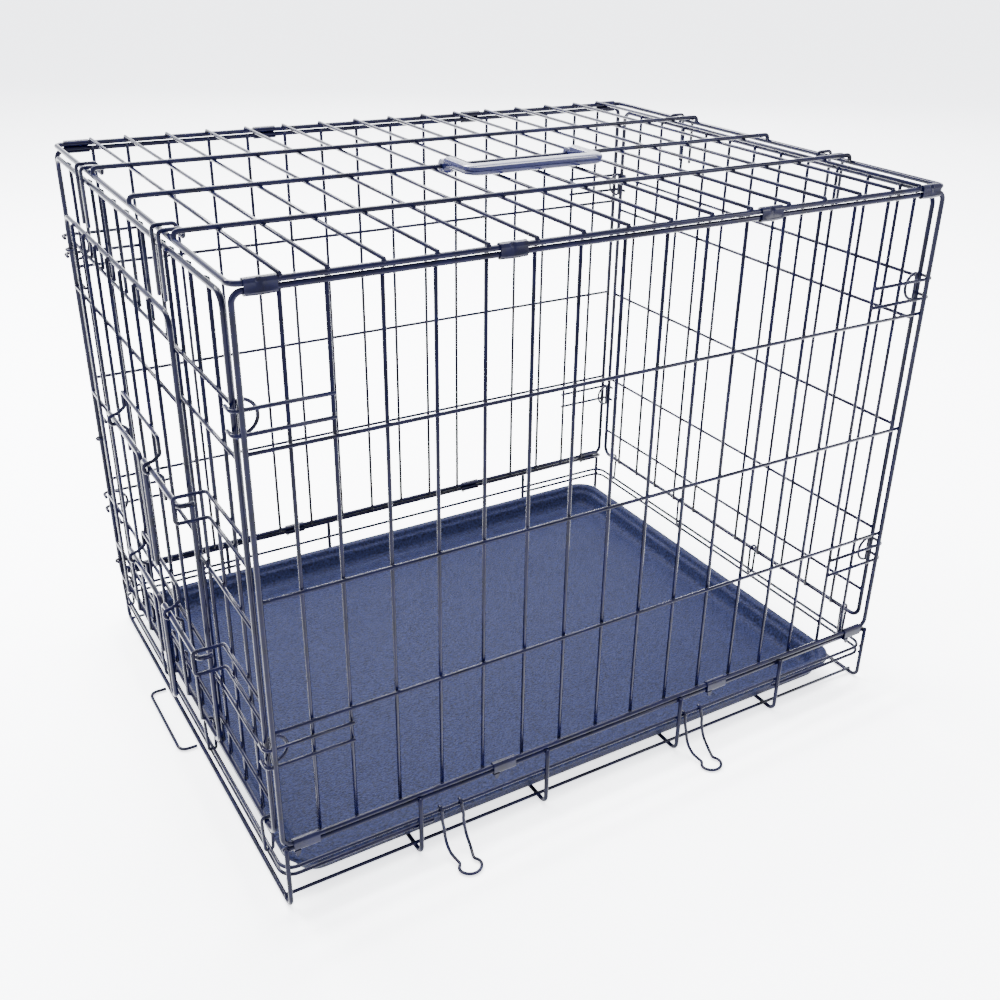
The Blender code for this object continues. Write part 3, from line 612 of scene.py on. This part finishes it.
# ---- clips, hooks, rings, handle ---------------------------------------------------------------------
def clip_sleeve(shape, x, side, low_z, high_z, flare):
    """Folded sheet sleeve round two rails; the seam lies inside and its lower lip flares out."""
    inner, outer = FRAME_R + 0.0004, FRAME_R + 0.0013
    y = side * SIDE_Y
    line = []
    for radius in (outer, inner):
        top = arc((0, 0, high_z), radius, 20, 180, 16, (0, 1, 0), (0, 0, 1))
        bottom = arc((0, 0, low_z), radius, 180, 340, 12, (0, 1, 0), (0, 0, 1))
        run = top + bottom
        line.append(run if radius == outer else list(reversed(run)))
    outline = line[0] + line[1]
    steps = 25
    rows = []
    for i in range(steps):
        t = i / (steps - 1)
        at = x - CLIP_HALF + 2 * CLIP_HALF * t
        row = []
        for p in outline:
            swell = 0.0
            if flare and p.z < low_z - 0.0004:
                swell = 0.0009 * (0.4 + 0.6 * math.sin(math.pi * t))
            dimple = 0.0
            if flare:
                dimple = math.exp(-((t - 0.45) / 0.055) ** 4 - ((p.z - high_z - 0.0016) / 0.0011) ** 4)
            depth = -0.0016 * dimple if p.y < -0.0008 else 0.0
            row.append(Vector((at, y - side * (p.y - swell - depth), p.z - swell * 0.3)))
        rows.append(row)
    size = len(outline)
    verts = [v for row in rows for v in row]
    faces = [tuple(reversed(range(size))), tuple((steps - 1) * size + k for k in range(size))]
    faces += band(steps, size)
    shape.add(verts, faces)


def clip_tab(shape, x, side, z):
    """Small tab that hangs from a lower clip's outer corner."""
    y = side * (SIDE_Y + FRAME_R + 0.0010)
    profile = [(0.0, 0.0), (0.0052, 0.0), (0.0044, -0.0036), (0.0028, -0.0052), (0.0010, -0.0040)]
    verts = [Vector((x - CLIP_HALF + a, y + side * t, z + b)) for t in (-0.0006, 0.0006) for a, b in profile]
    count = len(profile)
    faces = [tuple(range(count)), tuple(reversed(range(count, 2 * count)))]
    faces += [(k, (k + 1) % count, count + (k + 1) % count, count + k) for k in range(count)]
    shape.add(verts, faces)


def clips():
    """Sixteen sheet clips: four along each top edge and four along each bottom edge."""
    for side_name, side in (("front", -1), ("back", 1)):
        for number, x in enumerate(CLIP_X, 1):
            shape = Shape()
            clip_sleeve(shape, x, side, SIDE_TOP_Z, TOP_RAIL_Z, True)
            name = f"top_{side_name}_clip_{number}"
            shape.build(f"{name}_sleeve", SHEET, "crate_body", [name])
            shape = Shape()
            clip_sleeve(shape, x, side, BASE_TOP_Z, SIDE_BOTTOM_Z, False)
            clip_tab(shape, x, side, BASE_TOP_Z - FRAME_R + 0.0004)
            name = f"bottom_{side_name}_clip_{number}"
            shape.build(f"{name}_sleeve", SHEET, "crate_body", [name])


def end_hook(name, end, y):
    """Hairpin outside the end panel that passes over the roof's end rail and turns down."""
    out_x = end * (END_X + FRAME_R + GRID_R + 0.0007)
    over_z = TOP_RAIL_Z + FRAME_R + 0.0004 + GRID_R
    in_x = end * (EDGE_X - END_HOOK_REACH)
    legs = []
    for sign in (-1, 1):
        leg_y = y + sign * END_HOOK_HALF
        legs.append([(out_x, leg_y, END_HOOK_Z[0]), (out_x, leg_y, over_z),
                     (in_x, leg_y, over_z), (in_x, leg_y, END_HOOK_Z[1])])
    shape = Shape()
    tube(shape, rounded(legs[0] + list(reversed(legs[1])), SMALL_BEND_R), GRID_R)
    shape.build(f"{name}_wire", FITTING, "crate_body", [name])


def panel_ring(name, end, y):
    """Long link that ties an end panel's bottom rail to the base's belt."""
    loop = arc((end * END_X, y, END_BOTTOM_Z), FRAME_R + RING_R + 0.0006, 0, 180, 10, (1, 0, 0), (0, 0, 1))
    loop += arc((end * END_X, y, BELT_Z), GRID_R + RING_R + 0.0005, 180, 360, 10, (1, 0, 0), (0, 0, 1))
    shape = Shape()
    tube(shape, loop, RING_R, closed=True)
    shape.build(f"{name}_wire", FITTING, "crate_body", [name])


def d_ring(name, body, end, side, z):
    """Half ring on the inner face of an end panel's edge upright."""
    centre = (end * (END_X - FRAME_R - 0.0017), side * END_HALF, z)
    shape = Shape()
    tube(shape, arc(centre, D_RING_R, -90, 90, 16, (-end, 0, 0), (0, 0, 1)), RING_R, closed=True)
    shape.build(f"{name}_wire", FITTING, body, [name])


def fold_clip(name, x):
    """Necked hairpin hooked over the belt, with its round end out on the floor."""
    curl = arc((0, -BELT_Y, BELT_Z), GRID_R + 0.0018, 60, 190, 8, (0, 1, 0), (0, 0, 1))
    run = [(0.0098, -0.2408, 0.0300), (0.0092, -0.2420, 0.0240), (0.0094, -0.2460, 0.0130),
           (0.0090, -0.2535, 0.0062),
           (0.0070, -0.2620, 0.0034), (0.0068, -0.2650, 0.0028), (0.0092, -0.2682, 0.0022)]
    shape = Shape()
    legs = []
    for sign in (-1, 1):
        leg = [Vector((x + sign * FOLD_CLIP_HALF, p.y, p.z)) for p in curl]
        legs.append(leg + [Vector((x + sign * out, y, z)) for out, y, z in run])
    loop_y, loop_z, loop_r = FOLD_LOOP
    loop = arc((x, loop_y, loop_z), loop_r, 12, 168, 9, (-1, 0, 0), (0, -1, 0))
    tube(shape, smooth_line(legs[0] + loop + list(reversed(legs[1])), 3), FOLD_CLIP_R)
    shape.build(f"{name}_wire", FITTING, name, [name])


def handle():
    """Moulded bail: two arms hooked round the middle runner and a broad grip bar."""
    left, right = HANDLE_X
    front, back = HANDLE_Y
    outer = [(left, back), (left, front), (right, front), (right, back)]
    inner = [(right - HANDLE_ARM, back), (right - HANDLE_ARM, front + HANDLE_BAR),
             (left + HANDLE_ARM, front + HANDLE_BAR), (left + HANDLE_ARM, back)]
    section = [(0.0016, 0.0), (0.0004, 0.0008), (0.0, 0.0022), (0.0, 0.0034), (0.0004, 0.0038), (0.0, 0.0042),
               (0.0, 0.0054), (0.0006, 0.0068), (0.0020, 0.0076), (0.0036, 0.0079)]
    outer_steps = 9
    shape = Shape()
    rings = []
    for inset, height in section:
        z = HANDLE_Z + height
        out = [(x + (inset if x < 0 else -inset), y + (inset if y == front else 0), z) for x, y in outer]
        ins = [(x + (inset if x > 0 else -inset), y - (inset if y != back else 0), z) for x, y in inner]
        line = rounded(out, HANDLE_BEND_R[0], steps=outer_steps)
        rings.append(line + rounded(ins, HANDLE_BEND_R[1], steps=6))
    size = len(rings[0])
    verts = [p for ring in rings for p in ring]
    faces = band(len(rings), size)
    out_count = 2 + 2 * (outer_steps + 1)
    for start in (0, (len(rings) - 1) * size):
        faces += cap_faces(start, out_count, size)
    shape.add(verts, faces)
    for x in (left + HANDLE_ARM / 2, right - HANDLE_ARM / 2):
        hook_arm(shape, x, HANDLE_ARM)
    shape.build("carry_handle_moulding", MOULDED, "carry_handle", ["handle_bail"], 35)


def cap_faces(start, out_count, size):
    """Triangles between the outer run and the inner run of a U-shaped outline."""
    outer = list(range(out_count))
    inner = list(reversed(range(out_count, size)))
    faces = []
    i = j = 0
    while i < len(outer) - 1 or j < len(inner) - 1:
        ahead = (i + 1) / (len(outer) - 1) if i < len(outer) - 1 else 2
        behind = (j + 1) / (len(inner) - 1) if j < len(inner) - 1 else 2
        if ahead <= behind:
            faces.append((start + outer[i], start + outer[i + 1], start + inner[j]))
            i += 1
        else:
            faces.append((start + outer[i], start + inner[j + 1], start + inner[j]))
            j += 1
    return faces


def hook_arm(shape, x, width):
    """Hooked end of a handle arm, open underneath, that turns round the runner."""
    centre = (0, RUNNERS[1], RUNNER_Z)
    outer = arc(centre, HANDLE_HOOK_R, -60, 250, 18, (0, 1, 0), (0, 0, 1))
    inner = arc(centre, RUNNER_R + 0.0005, 250, -60, 18, (0, 1, 0), (0, 0, 1))
    outline = outer + inner
    size = len(outline)
    rows = []
    for at in (-0.5, -0.44, 0.44, 0.5):
        shrink = 0.94 if abs(at) == 0.5 else 1.0
        rows.append([Vector((x + at * width, RUNNERS[1] + (p.y - RUNNERS[1]) * shrink,
                             RUNNER_Z + (p.z - RUNNER_Z) * shrink)) for p in outline])
    verts = [v for row in rows for v in row]
    faces = band(len(rows), size)
    run = size // 2
    for start in (0, (len(rows) - 1) * size):
        for k in range(run - 1):
            faces.append((start + k, start + k + 1, start + size - 2 - k, start + size - 1 - k))
    shape.add(verts, faces)


# ---- build -------------------------------------------------------------------------------------------
base()
tray()
tray_stop()
side_panel("front_side_panel", -1)
side_panel("back_side_panel", 1)
roof()
door_end_panel()
rear_end_panel()
door()
bolt("upper_bolt", BOLT_Z[0])
bolt("lower_bolt", BOLT_Z[1])
for level, height in HINGE_EYE_Z:
    hinge_eye(f"door_hinge_eye_{level}", height)
clips()
for end_name, end_side in (("door_end", -1), ("rear_end", 1)):
    for hook_name, hook_y in END_HOOK_Y:
        end_hook(f"{end_name}_hook_{hook_name}", end_side, hook_y)
    for number, ring_y in enumerate(PANEL_RING_Y, 1):
        panel_ring(f"{end_name}_ring_{number}", end_side, ring_y)
    for side_name, side_sign in (("front", -1), ("back", 1)):
        for level, height in D_RING_Z:
            name = f"{end_name}_d_ring_{side_name}_{level}"
            d_ring(name, f"{end_name}_panel", end_side, side_sign, height)
for number, clip_x in enumerate(FOLD_CLIP_X, 1):
    fold_clip(f"fold_clip_{number}", clip_x)
handle()

# ---- camera, floor and light -------------------------------------------------------------------------
CAMERA_PLACE = Vector((-0.5089, -0.8895, 0.7065))
azimuth, elevation, roll = math.radians(32.327), math.radians(-27.268), math.radians(1.587)
ahead = Vector((math.sin(azimuth) * math.cos(elevation), math.cos(azimuth) * math.cos(elevation),
                math.sin(elevation)))
level = Vector((math.cos(azimuth), -math.sin(azimuth), 0))
over = level.cross(ahead)
right = level * math.cos(roll) + over * math.sin(roll)
up = over * math.cos(roll) - level * math.sin(roll)
lens = bpy.data.cameras.new("camera")
lens.sensor_width = 36.0
lens.lens = 41.88
lens.shift_x = -0.0302
lens.shift_y = -0.0024
camera = bpy.data.objects.new("camera", lens)
bpy.context.scene.collection.objects.link(camera)
turn = Matrix((right, up, -ahead)).transposed()
camera.matrix_world = Matrix.Translation(CAMERA_PLACE + ORIGIN) @ turn.to_4x4()
bpy.context.scene.camera = camera

FLOOR_HALF, FLOOR_DROP = 40, -0.0003
floor_mesh = bpy.data.meshes.new("floor")
floor_signs = ((-1, -1), (1, -1), (1, 1), (-1, 1))
floor_corners = [(x * FLOOR_HALF, y * FLOOR_HALF, FLOOR_DROP) for x, y in floor_signs]
floor_mesh.from_pydata(floor_corners, [], [(0, 1, 2, 3)])
floor = bpy.data.objects.new("floor", floor_mesh)
bpy.context.scene.collection.objects.link(floor)
paper = bpy.data.materials.new("pale_floor")
paper.use_nodes = True
paper_shader = paper.node_tree.nodes["Principled BSDF"]
paper_shader.inputs["Base Color"].default_value = (0.92, 0.925, 0.94, 1)
paper_shader.inputs["Roughness"].default_value = 0.9
paper_shader.inputs["Emission Color"].default_value = (0.95, 0.96, 1.0, 1)
paper_shader.inputs["Emission Strength"].default_value = 2.0
floor_mesh.materials.append(paper)

CRATE_MIDDLE = Vector((0, 0, 0.2))


def softbox(name, place, size, power):
    """Rectangular lamp that points at the middle of the crate."""
    light = bpy.data.lights.new(name, "AREA")
    light.shape = "RECTANGLE"
    light.size, light.size_y = size
    light.energy = power
    lamp = bpy.data.objects.new(name, light)
    bpy.context.scene.collection.objects.link(lamp)
    lamp.location = place
    lamp.rotation_euler = (CRATE_MIDDLE - Vector(place)).to_track_quat("-Z", "Y").to_euler()


softbox("overhead", (0.2, 0.6, 2.4), (2.4, 1.2), 300)
softbox("strip", (-0.3, 1.6, 1.9), (2.6, 0.25), 190)
softbox("behind", (1.6, 2.8, 1.6), (3.5, 1.8), 90)
softbox("left", (-2.4, -0.6, 1.6), (0.25, 1.6), 22)
softbox("front_right", (1.9, -2.0, 1.4), (0.3, 1.6), 30)
world = bpy.data.worlds.new("studio")
world.use_nodes = True
world.node_tree.nodes["Background"].inputs["Color"].default_value = (0.93, 0.95, 1.0, 1)
world.node_tree.nodes["Background"].inputs["Strength"].default_value = 2.4
bpy.context.scene.world = world
